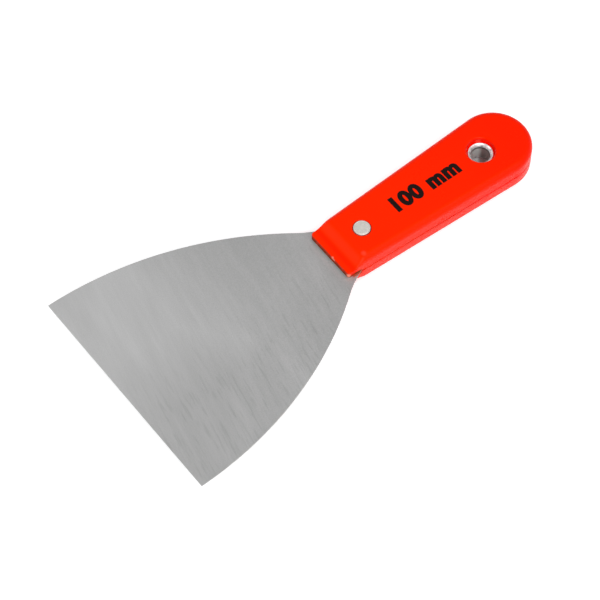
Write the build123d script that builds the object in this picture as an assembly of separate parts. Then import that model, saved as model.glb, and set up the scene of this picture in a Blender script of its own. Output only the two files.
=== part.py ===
"""Flexible putty knife with a 100 mm spring-steel blade and a two-piece moulded handle.

Millimetres. +Y runs from the working edge to the handle's end, X lies across the blade and +Z is up.
The origin is under the middle of the knife, on the plane of the handle's lower face.
"""

from build123d import *
import math
import os

os.makedirs("parts", exist_ok=True)

# --- Driving dimensions ------------------------------------------------------------------
# A station is a distance from the working edge, measured along the knife.
# Heights are measured from the blade's mid-plane, which is also the handle's parting plane.

total_length = 200.0
handle_thickness = 14.6
half_thickness = handle_thickness / 2

# Blade: a flared sheet with a necked shoulder and a long flat tang
blade_width = 100.0
blade_side_radius = 160.0
neck_radius = 36.5
tang_width = 20.0
tang_thickness = 1.0
edge_thickness = 0.5
taper_station = 94.0

# Outside of the handle: tapered sides, tangent to a full round end
lip_station = 100.0
lip_width = 24.0
lip_height = 3.5
lip_corner_radius = 1.2
lip_edge_radius = 0.5
ramp_start = 102.8
ramp_end = 108.9
ramp_sections = 7
end_radius = 15.6
end_centre = total_length - end_radius
grip_edge_radius = 3.0
parting_bevel = 0.25

# Inside of a handle half
blade_slot_clearance = 0.6
outer_wall = 2.4
face_wall = 2.2
rib_width = 1.4
rib_pitch = 11.6
cross_ribs = 4
pocket_front = 124.0
pocket_rear = 182.0
pocket_corner_radius = 0.6
eyelet_boss_radius = 8.2
peg_radius = 1.2
peg_height = 1.6
peg_bevel = 0.3
peg_clearance = 0.1
peg_offset = 8.6
peg_station = 190.6

# Solid rivet at the front
rivet_station = 116.2
rivet_shank_radius = 2.25
rivet_head_radius = 3.45
rivet_head_height = 1.6
rivet_head_bevel = 0.3
rivet_sink = 0.1
rivet_seat_radius = 3.7
rivet_mouth_radius = 0.6
rivet_clearance = 0.05
rivet_hole_radius = rivet_shank_radius + rivet_clearance

# Tubular eyelet that lines the hanging hole
eyelet_station = 177.4
eyelet_bore_radius = 3.9
eyelet_wall = 0.4
eyelet_flare_reach = 0.9
eyelet_flare_depth = 1.45
eyelet_flare_angle = 15.0
eyelet_underside_reach = 0.45
eyelet_land = 0.15
eyelet_flange_height = 4.9
eyelet_seat_radius = 5.8
eyelet_mouth_radius = 1.1
eyelet_bevel_reach = 0.45
eyelet_bevel_depth = 1.2
eyelet_clearance = 0.1
eyelet_hole_radius = eyelet_bore_radius + eyelet_wall + eyelet_clearance

# --- Drawing and placing -----------------------------------------------------------------


def at_station(station, across=0.0, height=0.0):
    """A place on the knife, before the knife is set on its base."""
    return Pos(across, station, height)


def closed_face(*lines):
    """The face that a closed run of lines and arcs bounds."""
    return make_face(Curve() + list(lines))


def turned(profile):
    """Revolves a profile about the vertical axis. It is drawn with radius along X, height along Y."""
    return revolve(Rot(90, 0, 0) * profile, Axis.Z)


def save(shape, node):
    """Sets a finished piece on the handle's lower face, with the knife's middle over the origin."""
    placed = Pos(0, -total_length / 2, half_thickness) * shape
    placed.label = node
    export_step(placed, f"parts/{node}.step")


# --- Blade -------------------------------------------------------------------------------


def blade_outline(clearance=0.0):
    """The sheet seen from above. Each side is an arc that leaves the working edge square, then
    a reverse arc that necks it into the tang. The tang's end is round about the eyelet."""
    side_centre = blade_width / 2 - blade_side_radius
    side_radius = blade_side_radius + clearance
    reverse_centre = tang_width / 2 + neck_radius
    reverse_radius = neck_radius - clearance
    reverse_station = math.sqrt(
        (side_radius + reverse_radius) ** 2 - (reverse_centre - side_centre) ** 2
    )
    share = side_radius / (side_radius + reverse_radius)
    shoulder = (side_centre + share * (reverse_centre - side_centre), share * reverse_station)
    half_tang = tang_width / 2 + clearance
    side = TangentArc((side_centre + side_radius, 0), shoulder, tangent=(0, 1))
    neck = TangentArc(shoulder, (half_tang, reverse_station), tangent=side % 1)
    flank = Line(neck @ 1, (half_tang, eyelet_station))
    tip = TangentArc(flank @ 1, (0, eyelet_station + half_tang), tangent=flank % 1)
    middle = Line(tip @ 1, (0, 0))
    edge = Line((0, 0), side @ 0)
    right_half = closed_face(edge, side, neck, flank, tip, middle)
    return right_half + mirror(right_half, Plane.YZ)


def blade():
    """Spring steel, full thickness at the tang and ground thinner toward the working edge."""
    tang_end = eyelet_station + tang_width / 2
    side_view = Polyline(
        (0, -edge_thickness / 2),
        (taper_station, -tang_thickness / 2),
        (tang_end, -tang_thickness / 2),
        (tang_end, tang_thickness / 2),
        (taper_station, tang_thickness / 2),
        (0, edge_thickness / 2),
        close=True,
    )
    ground_sheet = extrude(make_face(Plane.YZ * side_view), blade_width, both=True)
    sheet = ground_sheet & extrude(blade_outline(), tang_thickness, both=True)
    rivet_hole = Cylinder(rivet_hole_radius, handle_thickness)
    eyelet_hole = Cylinder(eyelet_hole_radius, handle_thickness)
    sheet -= at_station(rivet_station) * rivet_hole
    return sheet - at_station(eyelet_station) * eyelet_hole


# --- Outside of a handle half ------------------------------------------------------------


def handle_outline():
    """The handle seen from above: a straight front, and sides that are tangent to a round end."""
    front = Line((-lip_width / 2, lip_station), (lip_width / 2, lip_station))
    round_end = CenterArc((0, end_centre), end_radius, 0, 360)
    return make_hull([front, round_end])


def half_width(station):
    """Half the handle's width at a station on its straight sides."""
    reach = end_centre - lip_station
    to_centre = math.atan2(lip_width / 2, reach)
    taper = math.asin(end_radius / math.hypot(lip_width / 2, reach)) - to_centre
    return lip_width / 2 + (station - lip_station) * math.tan(taper)


def between_stations(first, last):
    """A window on the plan view between two stations. It is wider than the handle."""
    return at_station((first + last) / 2) * Rectangle(blade_width, last - first)


def rear_face(shape):
    return shape.faces().sort_by(Axis.Y)[-1]


def front_face(shape):
    return shape.faces().sort_by(Axis.Y)[0]


def top_face(shape):
    return shape.faces().sort_by(Axis.Z)[-1]


def lip():
    """The thin front of a half, which clasps the blade."""
    slab = extrude(handle_outline() & between_stations(lip_station, ramp_start), lip_height)
    front_corners = slab.edges().filter_by(Axis.Z).group_by(Axis.Y)[0]
    slab = fillet(front_corners, lip_corner_radius)
    return fillet(top_face(slab).edges() - rear_face(slab).edges(), lip_edge_radius)


def grip():
    """The full-height length of a half, from the ramp's top to the round end."""
    slab = extrude(handle_outline() & between_stations(ramp_end, total_length), half_thickness)
    return fillet(top_face(slab).edges() - front_face(slab).edges(), grip_edge_radius)


def ramp_section(share):
    """A cross-section part of the way up the ramp. Its height and edge rounding grow smoothly."""
    station = ramp_start + share * (ramp_end - ramp_start)
    growth = share * share * (3 - 2 * share)
    width = half_width(station)
    height = lip_height + growth * (half_thickness - lip_height)
    radius = lip_edge_radius + growth * (grip_edge_radius - lip_edge_radius)
    right = Line((width, 0), (width, height - radius))
    right_round = TangentArc(right @ 1, (width - radius, height), tangent=right % 1)
    top = Line(right_round @ 1, (radius - width, height))
    left_round = TangentArc(top @ 1, (-width, height - radius), tangent=top % 1)
    left = Line(left_round @ 1, (-width, 0))
    bottom = Line(left @ 1, right @ 0)
    section = closed_face(right, right_round, top, left_round, left, bottom)
    return (at_station(station) * Rot(90, 0, 0) * section).face()


def outer_shape():
    """The outside of a half before it is hollowed: lip, ramp and grip, bevelled where halves meet."""
    front_piece = lip()
    rear_piece = grip()
    steps = ramp_sections - 1
    middle_sections = [ramp_section(number / steps) for number in range(1, steps)]
    ramp = loft([rear_face(front_piece), *middle_sections, front_face(rear_piece)])
    shape = front_piece + ramp + rear_piece
    parting_face = shape.faces().sort_by(Axis.Z)[0]
    return chamfer(parting_face.outer_wire().edges(), parting_bevel)


# --- Inside of a handle half -------------------------------------------------------------


def blade_recess():
    """The shallow bed for the blade's shoulders and tang, half as deep as the sheet is thick."""
    return extrude(blade_outline(blade_slot_clearance), tang_thickness / 2)


def pockets():
    """Cored hollows behind the tang, left between the outer wall, the ribs and the eyelet's boss."""
    floor_plan = offset(handle_outline(), -outer_wall) & between_stations(pocket_front, pocket_rear)
    floor_plan -= at_station(total_length / 2) * Rectangle(rib_width, total_length)
    for number in range(1, cross_ribs + 1):
        rib_station = pocket_front + number * rib_pitch
        floor_plan -= between_stations(rib_station - rib_width / 2, rib_station + rib_width / 2)
    floor_plan -= at_station(eyelet_station) * Circle(eyelet_boss_radius)
    rounded = fillet(floor_plan.vertices(), pocket_corner_radius)
    return extrude(rounded, half_thickness - face_wall)


def rivet_seat():
    """The stepped hole for the rivet, with a softly rounded mouth."""
    mouth = half_thickness
    floor = half_thickness - rivet_sink - rivet_head_height
    lead = TangentArc(
        (rivet_seat_radius, mouth - rivet_mouth_radius),
        (rivet_seat_radius + rivet_mouth_radius, mouth),
        tangent=(0, 1),
    )
    outline = Polyline(
        lead @ 1,
        (0, mouth),
        (0, 0),
        (rivet_hole_radius, 0),
        (rivet_hole_radius, floor),
        (rivet_seat_radius, floor),
        lead @ 0,
    )
    return at_station(rivet_station) * turned(closed_face(lead, outline))


def eyelet_seat():
    """The stepped hole for the eyelet: a deep round recess, and a bevel under the flare."""
    mouth = half_thickness
    floor = eyelet_flange_height - eyelet_wall
    lead = TangentArc(
        (eyelet_seat_radius, mouth - eyelet_mouth_radius),
        (eyelet_seat_radius + eyelet_mouth_radius, mouth),
        tangent=(0, 1),
    )
    outline = Polyline(
        lead @ 1,
        (0, mouth),
        (0, 0),
        (eyelet_hole_radius, 0),
        (eyelet_hole_radius, floor - eyelet_bevel_depth),
        (eyelet_hole_radius + eyelet_bevel_reach, floor),
        (eyelet_seat_radius, floor),
        lead @ 0,
    )
    return at_station(eyelet_station) * turned(closed_face(lead, outline))


def peg(radius, height):
    """A locating peg or its socket, from the parting plane down."""
    column = Cylinder(radius, height, align=(Align.CENTER, Align.CENTER, Align.MAX))
    return chamfer(column.edges().sort_by(Axis.Z)[0], peg_bevel)


def beside_end(shape):
    """A pair of a shape at the two peg places, either side of the tang's tip."""
    return [at_station(peg_station, side * peg_offset) * shape for side in (-1, 1)]


def upper_half():
    """The half seen from above. Its pegs reach down into the lower half."""
    shape = outer_shape() - blade_recess() - pockets() - rivet_seat() - eyelet_seat()
    for locating_peg in beside_end(peg(peg_radius, peg_height)):
        shape += locating_peg
    return shape


def lower_half():
    """The same moulding upside down, with sockets where the upper half has pegs."""
    shape = outer_shape() - blade_recess() - pockets() - rivet_seat() - eyelet_seat()
    shape = mirror(shape, Plane.XY)
    for socket in beside_end(peg(peg_radius + peg_clearance, peg_height + peg_clearance)):
        shape -= socket
    return shape


# --- Fasteners ---------------------------------------------------------------------------


def with_mirror_below(profile):
    """A turned profile drawn above the parting plane, together with its mirror image below."""
    return profile + mirror(profile, Plane.XZ)


def front_rivet():
    """Solid aluminium rivet, its two flat bevelled heads sunk just below the handle's faces."""
    top = half_thickness - rivet_sink
    outline = Polyline(
        (0, 0),
        (rivet_shank_radius, 0),
        (rivet_shank_radius, top - rivet_head_height),
        (rivet_head_radius, top - rivet_head_height),
        (rivet_head_radius, top - rivet_head_bevel),
        (rivet_head_radius - rivet_head_bevel, top),
        (0, top),
        close=True,
    )
    return at_station(rivet_station) * turned(with_mirror_below(make_face(outline)))


def hanging_eyelet():
    """Thin plated tube. Each end opens in a curved funnel over the floor of a recess in the handle."""
    inner = eyelet_bore_radius
    outer = eyelet_bore_radius + eyelet_wall
    top = eyelet_flange_height
    flare_start = top - eyelet_flare_depth
    flare_end = inner + eyelet_flare_reach
    rim_start = flare_end + eyelet_land
    lean = math.radians(eyelet_flare_angle)
    opening = (math.sin(lean), math.cos(lean))
    funnel = TangentArc((inner, flare_start), (flare_end, top), tangent=opening)
    bore = Line((inner, 0), funnel @ 0)
    upper_land = Line(funnel @ 1, (rim_start, top))
    rim = TangentArc(upper_land @ 1, (rim_start, top - eyelet_wall), tangent=(1, 0))
    lower_land = Line(rim @ 1, (outer + eyelet_underside_reach, top - eyelet_wall))
    underside = TangentArc((outer, flare_start), lower_land @ 1, tangent=opening)
    barrel = Line(underside @ 0, (outer, 0))
    middle = Line(barrel @ 1, bore @ 0)
    profile = closed_face(bore, funnel, upper_land, rim, lower_land, underside, barrel, middle)
    return at_station(eyelet_station) * turned(with_mirror_below(profile))


save(blade(), "blade")
save(upper_half(), "upper_handle_half")
save(lower_half(), "lower_handle_half")
save(front_rivet(), "front_rivet")
save(hanging_eyelet(), "hanging_eyelet")
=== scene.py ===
import math

import bmesh
import bpy
from mathutils import Matrix, Vector


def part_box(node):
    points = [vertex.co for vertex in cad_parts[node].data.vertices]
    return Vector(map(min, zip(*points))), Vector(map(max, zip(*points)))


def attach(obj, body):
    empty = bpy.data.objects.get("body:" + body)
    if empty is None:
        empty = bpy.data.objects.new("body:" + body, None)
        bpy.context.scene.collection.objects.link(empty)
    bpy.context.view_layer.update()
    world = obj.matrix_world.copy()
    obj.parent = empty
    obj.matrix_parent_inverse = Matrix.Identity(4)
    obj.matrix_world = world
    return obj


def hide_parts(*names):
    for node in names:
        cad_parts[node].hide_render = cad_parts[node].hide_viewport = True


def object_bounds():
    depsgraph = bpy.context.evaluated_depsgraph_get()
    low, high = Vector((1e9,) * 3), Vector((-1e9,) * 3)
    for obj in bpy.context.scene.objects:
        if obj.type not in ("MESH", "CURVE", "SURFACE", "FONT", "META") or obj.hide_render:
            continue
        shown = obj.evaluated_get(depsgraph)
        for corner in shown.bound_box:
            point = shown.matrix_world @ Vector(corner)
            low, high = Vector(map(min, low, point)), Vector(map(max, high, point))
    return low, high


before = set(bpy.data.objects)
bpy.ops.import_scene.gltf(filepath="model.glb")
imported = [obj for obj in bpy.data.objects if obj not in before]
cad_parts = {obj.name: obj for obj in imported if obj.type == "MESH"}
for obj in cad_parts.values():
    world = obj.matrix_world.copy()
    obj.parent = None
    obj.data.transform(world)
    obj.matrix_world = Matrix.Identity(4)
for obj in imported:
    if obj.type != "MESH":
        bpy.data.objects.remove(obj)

cad_low, cad_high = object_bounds()

# --- Blade -------------------------------------------------------------------------------
# One sheet of hardened spring steel, flared to the working edge and necked into the handle.
# It is blanked, ground thinner toward the edge with the grinding lines across the blade, and
# left satin. It lies between the handle halves and is held by the rivet and the eyelet.

working_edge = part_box("blade")[0].y
lip_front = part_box("upper_handle_half")[0].y

steel_dark = (0.34, 0.34, 0.338, 1)
steel_light = (0.62, 0.62, 0.62, 1)
# Painted light: a lighter, bluish grey for the strip beside the lip.
steel_lit_beside_lip = (0.48, 0.66, 0.65, 1)
steel_metallic = 0.6
# Painted shade, reddish, where the blade enters the slot.
neck_slot_shade = (0.40, 0.07, 0.03, 1)

# A pair of roughnesses belongs to the low and the high end of a material's tone or clouds.
steel_base_tone = 0.13
steel_tones = (0.2, 0.8)
steel_roughness = (0.50, 0.42)

grinding_turn = math.radians(11)
grinding_depth = 0.000008
hair_line_grain = (0.022, 0.00025, 0.01)
broad_line_grain = (0.024, 0.0024, 0.01)
long_cloud_grain = (0.045, 0.013, 0.02)
streak_grain = (0.009, 0.0011, 0.01)
speckle_grain = (0.0004, 0.0004, 0.0004)
streak_levels = (0.54, 0.68)
streak_share = (0.1, 1.0)
shade_strength_right = 0.40
shade_strength_up = 0.42
lip_lit_strip_strength = 0.5

# Each pair of places below says where a tone starts and where it is full. A place is to the right
# of the blade's middle, out from its middle to either side, up from its edge, or behind the lip's
# front, and then it is negative on the bare blade.
streaks_right = (-0.015, 0.020)
shade_right = (-0.012, 0.018)
shade_up = (0.033, 0.060)
neck_shade_right = (0.0, 0.011)
neck_shade_behind_lip = (-0.035, -0.018)
# Where the painted light beside the lip and the reddish painted shade in the slot lie.
lip_light_out = (0.0135, 0.0115)
lip_light_behind_lip = (-0.0030, -0.0005)
lip_lit_strip_out = (0.0120, 0.0095)
lip_lit_strip_behind_lip = (-0.0018, -0.0005)
neck_slot_shade_out = (0.0133, 0.0128)
neck_slot_shade_behind_lip = (0.0013, 0.0023)

scratch_directions = (math.radians(17), math.radians(-38))
scratch_threshold = 0.86
scratch_threshold_drop = 0.2
scratch_edge = 0.05
usual_noise = (0.3, 0.7)


def add_node(tree, kind, inputs=None, **settings):
    """Adds a node, sets its options, and gives each named input a value or a link."""
    node = tree.nodes.new(kind)
    for option, value in settings.items():
        setattr(node, option, value)
    for name, value in (inputs or {}).items():
        if isinstance(value, bpy.types.NodeSocket):
            tree.links.new(value, node.inputs[name])
        else:
            node.inputs[name].default_value = value
    return node


def combine(tree, operation, *values):
    """Arithmetic on two or more values or links, from the first to the last."""
    result = values[0]
    for value in values[1:]:
        result = add_node(tree, "ShaderNodeMath", {0: result, 1: value}, operation=operation).outputs[0]
    return result


def layered(tree, start, *layers):
    """A starting value plus each layer times its weight."""
    total = start
    for value, weight in layers:
        parts = {0: value, 1: weight, 2: total}
        total = add_node(tree, "ShaderNodeMath", parts, operation="MULTIPLY_ADD").outputs[0]
    return total


def rescale(tree, value, low, high, new_low=0.0, new_high=1.0):
    """Maps a value from one range to another, and stops it at the new range's ends."""
    limits = {"From Min": low, "From Max": high, "To Min": new_low, "To Max": new_high}
    return add_node(tree, "ShaderNodeMapRange", {"Value": value, **limits}).outputs["Result"]


def distance_from(tree, value, level):
    """How far a value is from a level, above or below it."""
    offset = combine(tree, "SUBTRACT", value, level)
    return add_node(tree, "ShaderNodeMath", {0: offset}, operation="ABSOLUTE").outputs[0]


def where_both(tree, first, first_places, second, second_places):
    """1 where two measures are both past their full places, and 0 before either one's start."""
    first_share = rescale(tree, first, *first_places)
    second_share = rescale(tree, second, *second_places)
    return combine(tree, "MULTIPLY", first_share, second_share)


def blend(tree, share, first, second):
    """Mixes two colours."""
    colours = {"Factor": share, 6: first, 7: second}
    return add_node(tree, "ShaderNodeMix", colours, data_type="RGBA").outputs[2]


def lay_over(tree, colour, other, mask, strength):
    """Lays another colour over the first where a mask is 1, at a strength."""
    return blend(tree, combine(tree, "MULTIPLY", mask, strength), colour, other)


def stretched_noise(tree, place, size, detail=2.0, roughness=0.5):
    """Noise whose grains have a given size in metres along each axis."""
    scale = tuple(1 / length for length in size)
    mapped = add_node(tree, "ShaderNodeMapping", {"Vector": place, "Scale": scale})
    grain = {"Vector": mapped.outputs[0], "Scale": 1.0, "Detail": detail, "Roughness": roughness}
    return add_node(tree, "ShaderNodeTexNoise", grain).outputs[0]


def new_group(name, inputs, outputs):
    """An empty shader node group with named inputs and outputs."""
    group = bpy.data.node_groups.new(name, "ShaderNodeTree")
    for label, kind, value in inputs:
        socket = group.interface.new_socket(name=label, in_out="INPUT", socket_type=kind)
        socket.default_value = value
    for label, kind in outputs:
        group.interface.new_socket(name=label, in_out="OUTPUT", socket_type=kind)
    entry = group.nodes.new("NodeGroupInput")
    result = group.nodes.new("NodeGroupOutput")
    return group, entry.outputs, result.inputs


def use_group(tree, group, **inputs):
    """Places a shared node group in a material, with this material's own values."""
    node = tree.nodes.new("ShaderNodeGroup")
    node.node_tree = group
    for name, value in inputs.items():
        socket = node.inputs[name.replace("_", " ")]
        if isinstance(value, bpy.types.NodeSocket):
            tree.links.new(value, socket)
        else:
            socket.default_value = value
    return node.outputs


def new_material(name):
    """A material with its Principled shader, and the place on the piece that it reads."""
    material = bpy.data.materials.new(name)
    material.use_nodes = True
    tree = material.node_tree
    shader = tree.nodes["Principled BSDF"]
    place = tree.nodes.new("ShaderNodeTexCoord").outputs["Object"]
    return material, tree, shader, place


def set_surface(tree, shader, colour, roughness, height, depth):
    """Links the colour and roughness that change over a surface, and its relief in metres."""
    bump = add_node(tree, "ShaderNodeBump", {"Height": height, "Distance": depth})
    tree.links.new(colour, shader.inputs["Base Color"])
    tree.links.new(roughness, shader.inputs["Roughness"])
    tree.links.new(bump.outputs[0], shader.inputs["Normal"])


def give_material(node, material):
    """Gives a CAD node its material."""
    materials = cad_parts[node].data.materials
    materials.clear()
    materials.append(material)


def scratches_group():
    """Fine straight scratches in two crossing directions, as a mask from 0 to 1. They are where a
    long thin noise passes a threshold, which the amount lowers so that more of them show."""
    group, given, result = new_group(
        "Hairline scratches",
        [
            ("Place", "NodeSocketVector", (0, 0, 0)),
            ("Length", "NodeSocketFloat", 0.02),
            ("Width", "NodeSocketFloat", 0.0002),
            ("Amount", "NodeSocketFloat", 0.5),
        ],
        [("Mask", "NodeSocketFloat")],
    )
    drop = combine(group, "MULTIPLY", given["Amount"], scratch_threshold_drop)
    least = combine(group, "SUBTRACT", scratch_threshold, drop)
    most = combine(group, "ADD", least, scratch_edge)
    masks = []
    for turn in scratch_directions:
        turned = add_node(group, "ShaderNodeMapping", {"Vector": given["Place"], "Rotation": (0, 0, turn)})
        parts = add_node(group, "ShaderNodeSeparateXYZ", {0: turned.outputs[0]}).outputs
        along = combine(group, "DIVIDE", parts[0], given["Length"])
        across = combine(group, "DIVIDE", parts[1], given["Width"])
        grid = add_node(group, "ShaderNodeCombineXYZ", {0: along, 1: across}).outputs[0]
        grain = {"Vector": grid, "Scale": 1.0, "Detail": 1.0}
        noise = add_node(group, "ShaderNodeTexNoise", grain).outputs[0]
        masks.append(rescale(group, noise, least, most))
    group.links.new(combine(group, "MAXIMUM", *masks), result["Mask"])
    return group


def mottle_group():
    """Soft cloudy variation, from 0 to 1, with a fine grain laid over it."""
    group, given, result = new_group(
        "Cloudy variation",
        [
            ("Place", "NodeSocketVector", (0, 0, 0)),
            ("Cloud Size", "NodeSocketFloat", 0.02),
            ("Grain Size", "NodeSocketFloat", 0.001),
            ("Grain Share", "NodeSocketFloat", 0.3),
        ],
        [("Value", "NodeSocketFloat")],
    )
    layers = []
    for size in ("Cloud Size", "Grain Size"):
        scale = combine(group, "DIVIDE", 1.0, given[size])
        noise = {"Vector": given["Place"], "Scale": scale, "Detail": 3.0}
        layers.append(add_node(group, "ShaderNodeTexNoise", noise).outputs[0])
    shares = {"Factor": given["Grain Share"], 2: layers[0], 3: layers[1]}
    mixed = add_node(group, "ShaderNodeMix", shares).outputs[0]
    group.links.new(rescale(group, mixed, *usual_noise), result["Value"])
    return group


hairline_scratches = scratches_group()
cloudy_variation = mottle_group()


def ground_steel():
    """Satin steel with grinding lines that run across the blade, a little askew to its edge, and
    short dark streaks among them on the right. It has painted shade to the right and toward the neck,
    most on the neck's right, painted light beside the lip, and reddish painted shade where it enters the
    slot."""
    material, tree, shader, place = new_material("Ground spring steel")
    askew = {"Vector": place, "Rotation": (0, 0, grinding_turn)}
    slanted = add_node(tree, "ShaderNodeMapping", askew).outputs[0]
    hair_lines = stretched_noise(tree, slanted, hair_line_grain, detail=3.0, roughness=0.6)
    broad_lines = stretched_noise(tree, slanted, broad_line_grain)
    long_clouds = stretched_noise(tree, slanted, long_cloud_grain)
    streaks = stretched_noise(tree, slanted, streak_grain, detail=1.5, roughness=0.6)
    speckle = stretched_noise(tree, place, speckle_grain, detail=1.0)
    scratches = use_group(
        tree, hairline_scratches, Place=place, Length=0.02, Width=0.00025, Amount=0.35
    )["Mask"]

    parts = add_node(tree, "ShaderNodeSeparateXYZ", {0: place}).outputs
    right = parts[0]
    out = distance_from(tree, right, 0.0)
    up = combine(tree, "SUBTRACT", parts[1], working_edge)
    behind_lip = combine(tree, "SUBTRACT", parts[1], lip_front)

    toward_right = rescale(tree, right, *streaks_right, *streak_share)
    dark_streaks = combine(tree, "MULTIPLY", rescale(tree, streaks, *streak_levels), toward_right)
    # Painted shade to the right, toward the neck and most on the neck's right, and painted light beside the
    # lip, all laid into the tone.
    shade_to_right = rescale(tree, right, *shade_right, 0.0, shade_strength_right)
    shade_to_neck = rescale(tree, up, *shade_up, 0.0, shade_strength_up)
    shade = combine(tree, "MAXIMUM", shade_to_right, shade_to_neck)
    neck_shade = where_both(tree, right, neck_shade_right, behind_lip, neck_shade_behind_lip)
    lip_light = where_both(tree, behind_lip, lip_light_behind_lip, out, lip_light_out)
    tone = layered(
        tree,
        steel_base_tone,
        (broad_lines, 0.25),
        (hair_lines, 0.15),
        (long_clouds, 0.42),
        (speckle, 0.5),
        (dark_streaks, -0.16),
        (shade, -1.0),
        (lip_light, 0.2),
        (neck_shade, -0.13),
    )
    colour = blend(tree, tone, steel_dark, steel_light)

    # Painted light in a strip just in front of the lip.
    lip_lit_strip = where_both(tree, behind_lip, lip_lit_strip_behind_lip, out, lip_lit_strip_out)
    colour = lay_over(tree, colour, steel_lit_beside_lip, lip_lit_strip, lip_lit_strip_strength)
    # Painted shade where the blade enters the slot: reddish dark, and without metal shine.
    neck_shade_in_slot = where_both(tree, out, neck_slot_shade_out, behind_lip, neck_slot_shade_behind_lip)
    colour = blend(tree, neck_shade_in_slot, colour, neck_slot_shade)

    roughness = rescale(tree, tone, *steel_tones, *steel_roughness)
    relief = layered(tree, 0.0, (hair_lines, 0.5), (broad_lines, 0.5), (scratches, -0.6))
    set_surface(tree, shader, colour, roughness, relief, grinding_depth)
    metallic = rescale(tree, neck_shade_in_slot, 0.0, 1.0, steel_metallic, 0.0)
    tree.links.new(metallic, shader.inputs["Metallic"])
    return material


give_material("blade", ground_steel())

# --- Handle halves -----------------------------------------------------------------------
# Two injection-moulded halves in glossy orange-red plastic, mirror images apart from their
# locating pegs. They meet on the blade's mid-plane, close round its tang with a thin front
# lip, and leave a fine parting line along the sides.

handle_halves = ("upper_handle_half", "lower_handle_half")
handle_low = Vector(map(min, *(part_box(node)[0] for node in handle_halves)))
handle_high = Vector(map(max, *(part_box(node)[1] for node in handle_halves)))
handle_length = handle_high.y - handle_low.y
handle_top = handle_high.z
parting_height = (handle_low.z + handle_high.z) / 2
half_thickness = handle_top - parting_height

plastic_red = (0.96, 0.0190, 0.0002, 1)
plastic_red_deep = (0.94, 0.0110, 0.0002, 1)
plastic_red_shaded = (0.80, 0.0015, 0.0002, 1)
# Painted glints and sheen: a pale pinkish red.
plastic_glint = (0.90, 0.26, 0.17, 1)
plastic_roughness = (0.24, 0.30)
scratch_roughness = 0.15
peel_grain = (0.0014, 0.0014, 0.0014)
peel_depth = 0.000003

# The plastic's own reflections are weak and tinted, so that the red stays full under soft light.
plastic_refraction = 1.40
plastic_shine = 0.19
plastic_shine_colour = (1.0, 0.22, 0.0, 1)

# Painted shade on the lip's front, along the slot and in the seam lies in patches, and each pair says how
# strong it is in a thin and a full patch.
painted_gap_shade_brown = (0.105, 0.032, 0.0095, 1)
painted_gap_shade_grain = (0.0022, 0.0022, 0.0022)
painted_gap_shade_roughness = 0.4
lip_front_shade = (0.5, 0.85)
seam_front_shade = (0.15, 0.42)
slot_shade = (0.7, 0.95)
front_patches = (0.3, 0.5)
seam_patches = (0.3, 0.7)
slot_patches = (0.35, 0.5)

# The sides are rubbed glossier than the faces, and more so below the parting line.
polished_facing = (0.3, 0.65)
polish_heights = (parting_height - 0.0018, parting_height - 0.0008)
polish_below_and_above = (0.43, 0.10)
polish_under_shade = 0.16
polish_roughness = 0.27

# Each pair of places says where a tone starts and where it is full, behind the lip's front or out
# from the parting line, and a band says between which places behind the lip it lies.
deep_red_behind_lip = (0.030, handle_length - 0.010)
deep_red_strength = 0.8
deep_red_in_clouds = 0.2
# Painted shade at the ramp's foot.
ramp_foot_band = (0.0020, 0.0040)
ramp_foot_softness = 0.0006
ramp_foot_strength = 0.35
# A faint painted sheen up the ramp.
ramp_band = (0.0047, 0.0072)
ramp_softness = 0.0008
ramp_sheen = 0.015
seam_from_parting = (0.00045, 0.000225)
seam_shade_behind_lip = (0.034, 0.048)
seam_shade_strength = (0.2, 1.0)
seam_front_shade_behind_lip = (0.072, 0.050)
lip_front_shade_from_parting = (0.0036, 0.0024)
lip_front_shade_behind_lip = (0.0003, 0.0001)
slot_shade_from_parting = (0.0018, 0.0012)
slot_shade_behind_lip = (0.0075, 0.0055)

recess_radius = 0.0062
recess_depth = 0.0004
recess_shade = 0.45
rivet_seat_radius = 0.00378
rivet_seat_depth = 0.00015
# Painted shade for the gap round the rivet's head.
rivet_seat_shade = 0.85
recess_wall_softness = 0.0002
recess_mouth_softness = 0.0003

# A painted glint's place from the front of the handle's top face, its radius and its strength.
top_front = Vector((0, lip_front, handle_top))
painted_glints = (
    ((0.0020, 0.0, -0.0045), 0.0009, 1.0),
    ((0.0029, 0.0, -0.0047), 0.0007, 0.9),
    ((0.01165, 0.00035, -0.0056), 0.0013, 1.0),
    ((0.0097, 0.0093, -0.0005), 0.0014, 0.12),
    ((-0.0050, 0.0803, -0.0025), 0.0016, 0.2),
)


def middle_of(node):
    """The middle of a CAD node's box."""
    low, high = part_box(node)
    return (low + high) / 2


rivet_centre = middle_of("front_rivet")
eyelet_centre = middle_of("hanging_eyelet")


def distance_to(tree, place, point):
    """How far a place is from a point."""
    ends = {0: place, 1: point}
    return add_node(tree, "ShaderNodeVectorMath", ends, operation="DISTANCE").outputs["Value"]


def spot(tree, place, centre, reach, strength):
    """A strength round a point, fading to 0 at a distance from it."""
    return rescale(tree, distance_to(tree, place, centre), reach, reach * 0.4, 0.0, strength)


def between(tree, value, low, high, softness):
    """1 between two levels, and 0 outside them, with soft edges."""
    above = (low - softness, low + softness)
    below = (high + softness, high - softness)
    return where_both(tree, value, above, value, below)


def inside_round(tree, parts, from_parting, axis, radius, depth):
    """1 inside a round recess about an upright axis, below its mouth on either face of the handle."""
    levelled = {0: parts[0], 1: parts[1], 2: axis.z}
    off_axis = distance_to(tree, add_node(tree, "ShaderNodeCombineXYZ", levelled).outputs[0], axis)
    sunk = half_thickness - depth
    across = (radius, radius - recess_wall_softness)
    down = (sunk, sunk - recess_mouth_softness)
    return where_both(tree, off_axis, across, from_parting, down)


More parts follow.
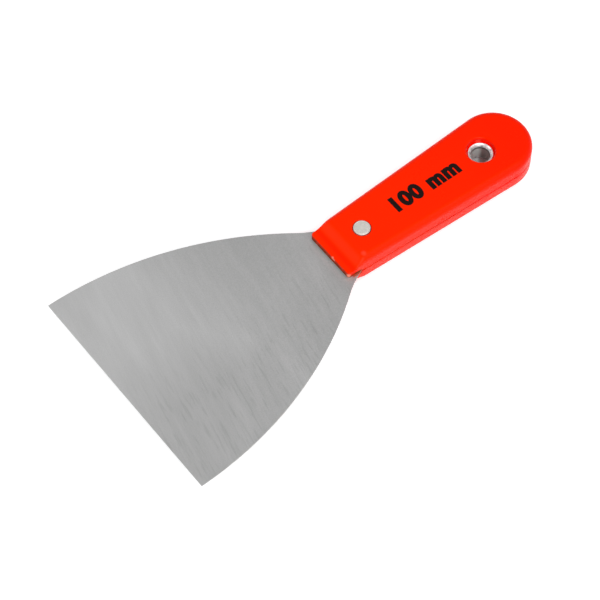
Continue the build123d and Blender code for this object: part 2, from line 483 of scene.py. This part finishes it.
def painted_gap_shade(tree, place, behind_lip, from_parting, in_seam):
    """Painted shade in patches on the lip's front edge, along the blade's slot at its sides, and in
    the seam toward the front."""
    patches = stretched_noise(tree, place, painted_gap_shade_grain)
    front = where_both(tree, behind_lip, lip_front_shade_behind_lip, from_parting, lip_front_shade_from_parting)
    front = combine(tree, "MULTIPLY", front, rescale(tree, patches, *front_patches, *lip_front_shade))
    seam = combine(tree, "MULTIPLY", in_seam, rescale(tree, patches, *seam_patches, *seam_front_shade))
    seam = combine(tree, "MULTIPLY", seam, rescale(tree, behind_lip, *seam_front_shade_behind_lip))
    slot = where_both(tree, from_parting, slot_shade_from_parting, behind_lip, slot_shade_behind_lip)
    slot = combine(tree, "MULTIPLY", slot, rescale(tree, patches, *slot_patches, *slot_shade))
    return combine(tree, "MAXIMUM", front, seam, slot)


def side_polish(tree, height, gap_shade, in_seam):
    """How far the plastic is rubbed glossy: only where it faces sideways, and not in the seam."""
    facing = tree.nodes.new("ShaderNodeTexCoord").outputs["Normal"]
    facing = add_node(tree, "ShaderNodeSeparateXYZ", {0: facing}).outputs
    sideways = rescale(tree, distance_from(tree, facing[0], 0.0), *polished_facing)
    strength = rescale(tree, height, *polish_heights, *polish_below_and_above)
    unshaded = rescale(tree, gap_shade, 0.0, 0.5, 1.0, polish_under_shade)
    clear_of_seam = combine(tree, "SUBTRACT", 1.0, in_seam)
    return combine(tree, "MULTIPLY", sideways, strength, unshaded, clear_of_seam)


def moulded_plastic():
    """Orange-red plastic with a faint orange-peel relief and light handling scratches, deeper red
    toward its round end. It has painted shade at the ramp's foot, in the eyelet's recess, round the
    rivet, along the seam, on the lip's front and at the blade's slot, a faint painted sheen up the
    ramp and painted glints in spots, and it is rubbed glossier at the sides."""
    material, tree, shader, place = new_material("Moulded orange-red plastic")
    clouds = use_group(
        tree, cloudy_variation, Place=place, Cloud_Size=0.03, Grain_Size=0.0012, Grain_Share=0.25
    )["Value"]
    scratches = use_group(
        tree, hairline_scratches, Place=place, Length=0.012, Width=0.0002, Amount=0.3
    )["Mask"]
    parts = add_node(tree, "ShaderNodeSeparateXYZ", {0: place}).outputs
    behind_lip = combine(tree, "SUBTRACT", parts[1], lip_front)
    from_parting = distance_from(tree, parts[2], parting_height)

    toward_end = rescale(tree, behind_lip, *deep_red_behind_lip, 0.0, deep_red_strength)
    deepness = layered(tree, toward_end, (clouds, deep_red_in_clouds))
    colour = blend(tree, deepness, plastic_red, plastic_red_deep)
    # Painted shade at the ramp's foot.
    at_ramp_foot = between(tree, behind_lip, *ramp_foot_band, ramp_foot_softness)
    colour = lay_over(tree, colour, plastic_red_shaded, at_ramp_foot, ramp_foot_strength)
    # Painted sheen: the glint colour laid faintly up the ramp.
    up_ramp = between(tree, behind_lip, *ramp_band, ramp_softness)
    colour = lay_over(tree, colour, plastic_glint, up_ramp, ramp_sheen)

    # Painted shade in the eyelet's recess.
    in_recess = inside_round(tree, parts, from_parting, eyelet_centre, recess_radius, recess_depth)
    colour = lay_over(tree, colour, plastic_red_shaded, in_recess, recess_shade)
    # Painted shade in the gap round the rivet's head.
    in_seat = inside_round(tree, parts, from_parting, rivet_centre, rivet_seat_radius, rivet_seat_depth)
    colour = lay_over(tree, colour, painted_gap_shade_brown, in_seat, rivet_seat_shade)

    in_seam = rescale(tree, from_parting, *seam_from_parting)
    # Painted shade in patches on the lip's front, along the slot and toward the front of the seam; it also
    # roughens the plastic and dulls the sides' gloss.
    gap_shade = painted_gap_shade(tree, place, behind_lip, from_parting, in_seam)
    # Painted shade along the parting line, strongest in the middle of the handle.
    seam_strength = rescale(tree, behind_lip, *seam_shade_behind_lip, *seam_shade_strength)
    shaded_seam = combine(tree, "MULTIPLY", in_seam, seam_strength)
    colour = blend(tree, shaded_seam, colour, plastic_red_shaded)
    colour = blend(tree, gap_shade, colour, painted_gap_shade_brown)
    # Painted glints on the lip's front edge and corner, at the ramp's top and in the eyelet's recess, which
    # clear the painted shade under them.
    for offset, radius, strength in painted_glints:
        glint_here = spot(tree, place, top_front + Vector(offset), radius, strength)
        colour = blend(tree, glint_here, colour, plastic_glint)
        gap_shade = combine(tree, "SUBTRACT", gap_shade, combine(tree, "MULTIPLY", gap_shade, glint_here))

    roughness = rescale(tree, clouds, 0.0, 1.0, *plastic_roughness)
    roughness = layered(tree, roughness, (scratches, scratch_roughness), (gap_shade, painted_gap_shade_roughness))
    peel = stretched_noise(tree, place, peel_grain, detail=1.0)
    relief = layered(tree, peel, (scratches, -0.5))
    set_surface(tree, shader, colour, roughness, relief, peel_depth)
    tree.links.new(side_polish(tree, parts[2], gap_shade, shaded_seam), shader.inputs["Coat Weight"])
    shader.inputs["Coat Roughness"].default_value = polish_roughness
    shader.inputs["Specular IOR Level"].default_value = plastic_shine
    shader.inputs["Specular Tint"].default_value = plastic_shine_colour
    shader.inputs["IOR"].default_value = plastic_refraction
    return material


handle_plastic = moulded_plastic()
for node in handle_halves:
    give_material(node, handle_plastic)

# --- Size mark ---------------------------------------------------------------------------
# The blade's width, pad-printed on the upper half in black ink. The film of ink stands a
# hundredth of a millimetre proud of the plastic and reads along the handle.

mark_words = "100 mm"
mark_letter_height = 0.0094
mark_weight = 0.0006
mark_spacing = 1.12
mark_proud = 0.00001
mark_behind_lip = 0.048
ink_thick = (0.004, 0.0015, 0.001, 1)
ink_thin = (0.014, 0.004, 0.002, 1)
ink_roughness = (0.5, 0.65)
ink_shine = 0.12
ink_relief = 0.000004


def black_ink():
    """Near-black pad-printing ink, thinner in places, so that it is a little uneven."""
    material, tree, shader, place = new_material("Black printing ink")
    clouds = use_group(
        tree, cloudy_variation, Place=place, Cloud_Size=0.004, Grain_Size=0.0003, Grain_Share=0.6
    )["Value"]
    colour = blend(tree, clouds, ink_thick, ink_thin)
    roughness = rescale(tree, clouds, 0.0, 1.0, *ink_roughness)
    set_surface(tree, shader, colour, roughness, clouds, ink_relief)
    shader.inputs["Specular IOR Level"].default_value = ink_shine
    return material


def add_object(name, data):
    """Puts a new object in the scene, with its own data."""
    item = bpy.data.objects.new(name, data)
    bpy.context.scene.collection.objects.link(item)
    return item


def finished_mesh(host):
    """The plain mesh that a text or a modifier gives. The object that carried it is removed."""
    bpy.context.view_layer.update()
    graph = bpy.context.evaluated_depsgraph_get()
    mesh = bpy.data.meshes.new_from_object(host.evaluated_get(graph))
    bpy.data.objects.remove(host)
    return mesh


def size_mark():
    """The printed words as flat closed shapes on the handle's upper face."""
    words = bpy.data.curves.new("size_mark", "FONT")
    words.body = mark_words
    words.size = mark_letter_height
    words.align_x = "CENTER"
    words.align_y = "CENTER"
    words.offset = mark_weight
    words.space_character = mark_spacing
    words.extrude = mark_proud
    mesh = finished_mesh(add_object("size_mark_outline", words))
    along_handle = Matrix.Rotation(math.radians(90), 4, "Z")
    mesh.transform(Matrix.Translation((0, lip_front + mark_behind_lip, handle_top)) @ along_handle)
    mesh.materials.clear()
    mesh.materials.append(black_ink())
    return add_object("size_mark", mesh)


mark_piece = size_mark()
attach(mark_piece, "root")

# --- Front rivet -------------------------------------------------------------------------
# A solid aluminium rivet through both halves and the blade, just behind the lip. Each end is
# pressed into a flat round head with a rolled rim, which lies in a stepped seat.

rivet_low, rivet_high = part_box("front_rivet")
rivet_radius = (rivet_high.x - rivet_low.x) / 2
rivet_half_length = (rivet_high.z - rivet_low.z) / 2
rivet_shank_radius = 0.00225
rivet_head_height = 0.0016
rivet_rim_width = 0.00045
rivet_rim_groove = 0.00005
rivet_dark = (0.68, 0.65, 0.60, 1)
rivet_light = (0.84, 0.81, 0.76, 1)
rivet_roughness = (0.62, 0.5)
rivet_metallic = 0.85
rivet_relief = 0.00001


def arc(centre, radius, start, end, steps):
    """Points on an arc in the profile's plane. Angles are in degrees from the outward direction."""
    turns = [math.radians(start + (end - start) * step / steps) for step in range(steps + 1)]
    return [(centre[0] + radius * math.cos(turn), centre[1] + radius * math.sin(turn)) for turn in turns]


def mirrored(points):
    """A profile's mirror image below the middle, from its last point back to its first."""
    return [(radius, -height) for radius, height in reversed(points)]


def turning_tree():
    """Turns a profile, given as a line of points, about the vertical axis, and dimples the piece."""
    tree = bpy.data.node_groups.new("Turned metal piece", "GeometryNodeTree")
    for label, kind in (
        ("Geometry", "NodeSocketGeometry"),
        ("Segments", "NodeSocketInt"),
        ("Dimple Depth", "NodeSocketFloat"),
        ("Dimple Size", "NodeSocketFloat"),
        ("Seed", "NodeSocketFloat"),
        ("Material", "NodeSocketMaterial"),
    ):
        tree.interface.new_socket(name=label, in_out="INPUT", socket_type=kind)
    tree.interface.new_socket(name="Geometry", in_out="OUTPUT", socket_type="NodeSocketGeometry")
    given = tree.nodes.new("NodeGroupInput").outputs
    result = tree.nodes.new("NodeGroupOutput").inputs

    profile = given["Geometry"]
    count = add_node(tree, "GeometryNodeAttributeDomainSize", {"Geometry": profile}).outputs["Point Count"]
    columns = combine(tree, "ADD", given["Segments"], 1)
    grid = {"Vertices X": columns, "Vertices Y": count}
    sheet = add_node(tree, "GeometryNodeMeshGrid", grid).outputs[0]
    index = tree.nodes.new("GeometryNodeInputIndex").outputs[0]
    row = combine(tree, "FLOORED_MODULO", index, count)
    column = combine(tree, "FLOOR", combine(tree, "DIVIDE", index, count), 0)
    angle = combine(tree, "DIVIDE", combine(tree, "MULTIPLY", column, math.tau), given["Segments"])
    position = tree.nodes.new("GeometryNodeInputPosition").outputs[0]
    point = add_node(
        tree,
        "GeometryNodeSampleIndex",
        {"Geometry": profile, "Value": position, "Index": row},
        data_type="FLOAT_VECTOR",
    ).outputs[0]
    turn = {"Vector": point, "Angle": angle}
    place = add_node(tree, "ShaderNodeVectorRotate", turn, rotation_type="Z_AXIS").outputs[0]
    turned = add_node(tree, "GeometryNodeSetPosition", {"Geometry": sheet, "Position": place}).outputs[0]
    merging = {"Geometry": turned, "Distance": 1e-7}
    closed = add_node(tree, "GeometryNodeMergeByDistance", merging).outputs[0]

    size = combine(tree, "DIVIDE", 1.0, given["Dimple Size"])
    grain = {"Vector": position, "W": given["Seed"], "Scale": size, "Detail": 2.0}
    noise = add_node(tree, "ShaderNodeTexNoise", grain, noise_dimensions="4D").outputs[0]
    depth = combine(tree, "MULTIPLY", combine(tree, "SUBTRACT", noise, 1.0), given["Dimple Depth"])
    normal = tree.nodes.new("GeometryNodeInputNormal").outputs[0]
    push = add_node(tree, "ShaderNodeVectorMath", {0: normal, "Scale": depth}, operation="SCALE").outputs[0]
    dimpled = add_node(tree, "GeometryNodeSetPosition", {"Geometry": closed, "Offset": push}).outputs[0]
    smooth = add_node(tree, "GeometryNodeSetShadeSmooth", {"Geometry": dimpled}).outputs[0]
    real = add_node(tree, "GeometryNodeRealizeInstances", {"Geometry": smooth}).outputs[0]
    covered = {"Geometry": real, "Material": given["Material"]}
    finished = add_node(tree, "GeometryNodeSetMaterial", covered).outputs[0]
    tree.links.new(finished, result["Geometry"])
    return tree


turned_metal = turning_tree()


def turned_piece(name, profile, centre, **inputs):
    """Turns a profile into a finished piece that stands on a vertical axis through its centre. The
    turning tree's other inputs are given by name."""
    line = bpy.data.meshes.new(name + "_profile")
    vertices = [(radius, 0, height) for radius, height in profile]
    edges = [(first, first + 1) for first in range(len(vertices) - 1)]
    line.from_pydata(vertices, edges, [])
    host = add_object(name + "_profile", line)
    modifier = host.modifiers.new("Turning", "NODES")
    modifier.node_group = turned_metal
    sockets = turned_metal.interface.items_tree
    identifiers = {item.name: item.identifier for item in sockets if item.in_out == "INPUT"}
    for label, value in inputs.items():
        modifier[identifiers[label.replace("_", " ")]] = value
    mesh = finished_mesh(host)
    work = bmesh.new()
    work.from_mesh(mesh)
    bmesh.ops.dissolve_degenerate(work, dist=1e-8, edges=work.edges)
    bmesh.ops.recalc_face_normals(work, faces=work.faces)
    work.to_mesh(mesh)
    work.free()
    mesh.transform(Matrix.Translation(centre))
    return add_object(name, mesh)


def rivet_aluminium():
    """Matt aluminium, peened by the setting tool and lightly speckled."""
    material, tree, shader, place = new_material("Matt rivet aluminium")
    clouds = use_group(
        tree, cloudy_variation, Place=place, Cloud_Size=0.0012, Grain_Size=0.0003, Grain_Share=0.5
    )["Value"]
    colour = blend(tree, clouds, rivet_dark, rivet_light)
    roughness = rescale(tree, clouds, 0.0, 1.0, *rivet_roughness)
    set_surface(tree, shader, colour, roughness, clouds, rivet_relief)
    shader.inputs["Metallic"].default_value = rivet_metallic
    return material


def rivet_profile():
    """The rivet's section from one end's centre to the other's: slightly sunk face, groove, rolled
    rim, head and shank."""
    top = rivet_half_length
    under = top - rivet_head_height
    groove = rivet_radius - rivet_rim_width
    rim_radius = rivet_rim_width / 2
    rim_centre = (rivet_radius - rim_radius, top - rim_radius)
    face_steps = 12
    upper = [(groove * step / face_steps, top - rivet_rim_groove / 2) for step in range(face_steps)]
    upper.append((groove, top - rivet_rim_groove))
    upper += arc(rim_centre, rim_radius, 150, 0, steps=10)
    upper += [(rivet_radius, (top + under) / 2), (rivet_radius, under), (rivet_shank_radius, under)]
    return upper + mirrored(upper)


rivet_piece = turned_piece(
    "front_rivet_turned",
    rivet_profile(),
    rivet_centre,
    Material=rivet_aluminium(),
    Segments=96,
    Dimple_Depth=0.00002,
    Dimple_Size=0.0009,
    Seed=3.0,
)
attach(rivet_piece, "root")
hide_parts("front_rivet")

# --- Hanging eyelet ----------------------------------------------------------------------
# A thin nickel-plated steel tube that lines the hanging hole and clamps the round end of the
# halves. Both ends are rolled outward over the floors of two round recesses.

eyelet_low, eyelet_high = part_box("hanging_eyelet")
eyelet_rim_radius = (eyelet_high.x - eyelet_low.x) / 2
eyelet_half_length = (eyelet_high.z - eyelet_low.z) / 2
eyelet_bore_radius = 0.0039
eyelet_wall = 0.0004
eyelet_flare_reach = 0.0009
eyelet_flare_depth = 0.00145
eyelet_flare_lean = math.radians(15)
eyelet_underside_reach = 0.00045
eyelet_throat = eyelet_half_length - eyelet_flare_depth

nickel_dark = (0.81, 0.86, 0.86, 1)
nickel_light = (0.91, 0.96, 0.96, 1)
# Painted dark reflection on the flare:
nickel_reflecting_dark = (0.30, 0.31, 0.31, 1)
nickel_roughness = (0.26, 0.34)
nickel_metallic = 0.65
nickel_relief = 0.00001
# Painted light and shade inside the bore: a lit side, a shaded rear right side, and a dark line below the
# flare.
bore_lit_side = (0.96, 1.0, 0.98, 1)
bore_shaded = (0.36, 0.29, 0.28, 1)
bore_shade_line = (0.13, 0.11, 0.11, 1)
bore_shade_line_strength = 0.95
bore_extra_roughness = 0.2
bore_from_middle = (eyelet_throat + 0.0002, eyelet_throat)
bore_shade_line_heights = (eyelet_throat - 0.0013, eyelet_throat - 0.0005)

# The bore's painted shade lies this way from its axis, across the handle and along it.
rear_right = (0.62, 0.79)
rear_right_places = (-0.0006, 0.0010)

# A painted dark reflection's place from the eyelet's middle, its radius, and how dark it is.
flare_dark_reflections = (
    ((-0.0026, 0.0030, 0.00415), 0.0008, 0.8),
    ((0.0012, 0.0043, 0.0046), 0.0007, 0.8),
    ((-0.0040, -0.0014, 0.00425), 0.0010, 0.6),
    ((-0.0030, -0.0031, 0.00425), 0.0010, 0.5),
)


def rear_right_of_bore(tree, parts):
    """0 on the side of the bore's axis toward the blade's left, rising to 1 on the rear right side."""
    across = combine(tree, "SUBTRACT", parts[0], eyelet_centre.x)
    along = combine(tree, "SUBTRACT", parts[1], eyelet_centre.y)
    away = layered(tree, 0.0, (across, rear_right[0]), (along, rear_right[1]))
    return rescale(tree, away, *rear_right_places)


def bright_nickel():
    """Bright nickel plate, softly rippled where the tube was rolled over, with painted dark reflections
    on the flare. Inside the bore it is dull, with painted light on one side, painted shade on the rear
    right side, and a painted dark line just below the upper flare."""
    material, tree, shader, place = new_material("Bright nickel plate")
    clouds = use_group(
        tree, cloudy_variation, Place=place, Cloud_Size=0.0025, Grain_Size=0.0004, Grain_Share=0.3
    )["Value"]
    scratches = use_group(
        tree, hairline_scratches, Place=place, Length=0.003, Width=0.00012, Amount=0.4
    )["Mask"]
    bright = blend(tree, clouds, nickel_dark, nickel_light)
    # Painted dark reflections in the rippled flare.
    for offset, radius, strength in flare_dark_reflections:
        reflecting_dark = spot(tree, place, eyelet_centre + Vector(offset), radius, strength)
        bright = blend(tree, reflecting_dark, bright, nickel_reflecting_dark)

    parts = add_node(tree, "ShaderNodeSeparateXYZ", {0: place}).outputs
    height = combine(tree, "SUBTRACT", parts[2], eyelet_centre.z)
    # Painted light and shade in the bore, and a painted dark line just below the upper flare.
    dull = blend(tree, rear_right_of_bore(tree, parts), bore_lit_side, bore_shaded)
    below_flare = rescale(tree, height, *bore_shade_line_heights)
    dull = lay_over(tree, dull, bore_shade_line, below_flare, bore_shade_line_strength)
    in_bore = rescale(tree, distance_from(tree, height, 0.0), *bore_from_middle)
    colour = blend(tree, in_bore, bright, dull)

    roughness = rescale(tree, clouds, 0.0, 1.0, *nickel_roughness)
    roughness = layered(tree, roughness, (scratches, scratch_roughness), (in_bore, bore_extra_roughness))
    set_surface(tree, shader, colour, roughness, clouds, nickel_relief)
    shader.inputs["Metallic"].default_value = nickel_metallic
    return material


def bend(start, end, lean, steps):
    """Points on an arc between two points of a profile, which leaves the first at a lean from upright."""
    across, rise = end[0] - start[0], end[1] - start[1]
    turn = math.atan2(across, rise) - lean
    diameter = math.hypot(across, rise) / math.sin(turn)
    points = []
    for step in range(steps + 1):
        swing = turn * step / steps
        reach = diameter * math.sin(swing)
        heading = lean + swing
        points.append((start[0] + reach * math.sin(heading), start[1] + reach * math.cos(heading)))
    return points


def eyelet_profile():
    """The tube's section: bore, funnel, rim, underside and outer wall."""
    top = eyelet_half_length
    outer = eyelet_bore_radius + eyelet_wall
    rim = eyelet_wall / 2
    wall_steps = 8
    wall_heights = [eyelet_throat * step / wall_steps for step in range(wall_steps)]
    funnel_start = (eyelet_bore_radius, eyelet_throat)
    funnel_end = (eyelet_bore_radius + eyelet_flare_reach, top)
    underside_end = (outer + eyelet_underside_reach, top - eyelet_wall)
    upper = [(eyelet_bore_radius, height) for height in wall_heights[1:]]
    upper += bend(funnel_start, funnel_end, eyelet_flare_lean, steps=12)
    upper += arc((eyelet_rim_radius - rim, top - rim), rim, 90, -90, steps=8)
    upper += reversed(bend((outer, eyelet_throat), underside_end, eyelet_flare_lean, steps=8))
    upper += [(outer, height) for height in reversed(wall_heights)]
    return upper + mirrored(upper[:-1]) + upper[:1]


eyelet_piece = turned_piece(
    "hanging_eyelet_turned",
    eyelet_profile(),
    eyelet_centre,
    Material=bright_nickel(),
    Segments=128,
    Dimple_Depth=0.00002,
    Dimple_Size=0.002,
    Seed=8.0,
)
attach(eyelet_piece, "root")
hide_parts("hanging_eyelet")

# --- Studio ------------------------------------------------------------------------------
# A white table top, a pale surround, and four soft lamps: a large one on the camera's side, one
# overhead behind the handle, a weak one at the right rear, and a low fill from the left.

table_size = 8.0
table_white = (0.86, 0.86, 0.86, 1)
table_light = (0.88, 0.88, 0.88, 1)
table_roughness = (0.8, 0.9)
table_relief = 0.00002
table_glow = 0.4
table_far_glow = 0.5
table_far_places = (0.5, 2.0)
# Painted light on the table where it is seen through the hanging hole:
through_hole_painted_light = 0.2
through_hole_painted_colour = (0.75, 1.0, 1.0, 1)
clear_of_hole_places = (0.010, 0.012)
plain_white = (1, 1, 1, 1)
surround_light = 0.5


def seen_directly(tree):
    """1 for what the camera sees, and 0 for light that falls on things or is reflected."""
    return tree.nodes.new("ShaderNodeLightPath").outputs["Is Camera Ray"]


def table_material():
    """White sheet that looks white to the camera and still shows the knife's soft shadow. Through
    the hanging hole it has only a weak, cyan-tinted painted light, none on the rear right, and far off it
    fades to plain white."""
    material, tree, shader, place = new_material("White table top")
    clouds = use_group(
        tree, cloudy_variation, Place=place, Cloud_Size=0.4, Grain_Size=0.01, Grain_Share=0.2
    )["Value"]
    colour = blend(tree, clouds, table_white, table_light)
    roughness = rescale(tree, clouds, 0.0, 1.0, *table_roughness)
    set_surface(tree, shader, colour, roughness, clouds, table_relief)

    below_hole = (eyelet_centre.x, eyelet_centre.y, cad_low.z)
    away = distance_to(tree, place, below_hole)
    parts = add_node(tree, "ShaderNodeSeparateXYZ", {0: place}).outputs
    # Painted light, cyan-tinted, on the table seen through the hole, fading to none on the rear right.
    hole_painted_light = rescale(tree, rear_right_of_bore(tree, parts), 0.0, 1.0, through_hole_painted_light, 0.0)
    clear_of_hole = rescale(tree, away, *clear_of_hole_places)
    near_glow = combine(tree, "MAXIMUM", hole_painted_light, combine(tree, "MULTIPLY", clear_of_hole, table_glow))
    far_glow = rescale(tree, away, *table_far_places, 0.0, table_far_glow)
    glow = combine(tree, "ADD", near_glow, far_glow)
    glow_colour = blend(tree, clear_of_hole, through_hole_painted_colour, plain_white)
    tree.links.new(glow_colour, shader.inputs["Emission Color"])
    tree.links.new(combine(tree, "MULTIPLY", seen_directly(tree), glow), shader.inputs["Emission Strength"])
    return material


def table_top():
    """A square sheet at the height of the knife's base."""
    mesh = bpy.data.meshes.new("table_top")
    work = bmesh.new()
    bmesh.ops.create_grid(work, x_segments=1, y_segments=1, size=table_size / 2)
    work.to_mesh(mesh)
    work.free()
    mesh.transform(Matrix.Translation((0, 0, cad_low.z)))
    mesh.materials.append(table_material())
    return add_object("table_top", mesh)


def surround():
    """Pale light from all round, and plain white where the camera looks past the table."""
    world = bpy.data.worlds.new("Pale surround")
    bpy.context.scene.world = world
    world.use_nodes = True
    tree = world.node_tree
    background = tree.nodes["Background"].inputs
    background["Color"].default_value = plain_white
    strength = rescale(tree, seen_directly(tree), 0.0, 1.0, surround_light, 1.0)
    tree.links.new(strength, background["Strength"])


def soft_lamp(name, azimuth, elevation, distance, size, power):
    """A square soft lamp that faces the knife. Azimuth 0 is in front of the blade, 90 to its right."""
    turn, rise = math.radians(azimuth), math.radians(elevation)
    away = Vector((math.sin(turn) * math.cos(rise), -math.cos(turn) * math.cos(rise), math.sin(rise)))
    data = bpy.data.lights.new(name, "AREA")
    data.shape = "SQUARE"
    data.size = size
    data.energy = power
    lamp = add_object(name, data)
    lamp.location = away * distance
    lamp.rotation_mode = "QUATERNION"
    lamp.rotation_quaternion = away.to_track_quat("Z", "Y")


table_top()
surround()
soft_lamp("camera_side_lamp", azimuth=60, elevation=38, distance=2.4, size=1.8, power=36)
soft_lamp("overhead_lamp", azimuth=150, elevation=65, distance=1.5, size=0.9, power=4.3)
soft_lamp("right_rear_lamp", azimuth=118, elevation=38, distance=1.5, size=0.9, power=1.5)
soft_lamp("left_fill", azimuth=-32, elevation=26, distance=1.2, size=0.7, power=3)

# --- Camera ------------------------------------------------------------------------------
# A long lens, about a metre away, that looks down on the knife from its right front side. It is
# level apart from a slight roll.

camera_azimuth = math.radians(51.851)
camera_elevation = math.radians(58.109)
camera_roll = math.radians(0.276)
camera_target = Vector((0.008013, -0.020898, 0.0073))
camera_distance = 0.974687
camera_lens = 150.0
camera_sensor = 36.0


def camera():
    """Puts the camera at its distance from the target, and makes it the scene's own."""
    data = bpy.data.cameras.new("camera")
    data.lens = camera_lens
    data.sensor_width = camera_sensor
    eye = add_object("camera", data)
    right = Vector((math.cos(camera_azimuth), math.sin(camera_azimuth), 0))
    forward = Vector((-right.y, right.x, 0))
    back = Vector((0, 0, math.sin(camera_elevation))) - forward * math.cos(camera_elevation)
    up = back.cross(right)
    axes = Matrix((right, up, back)).transposed().to_4x4()
    place = Matrix.Translation(camera_target + back * camera_distance)
    eye.matrix_world = place @ axes @ Matrix.Rotation(camera_roll, 4, "Z")
    bpy.context.scene.camera = eye


camera()
bpy.context.scene.view_settings.view_transform = "Standard"
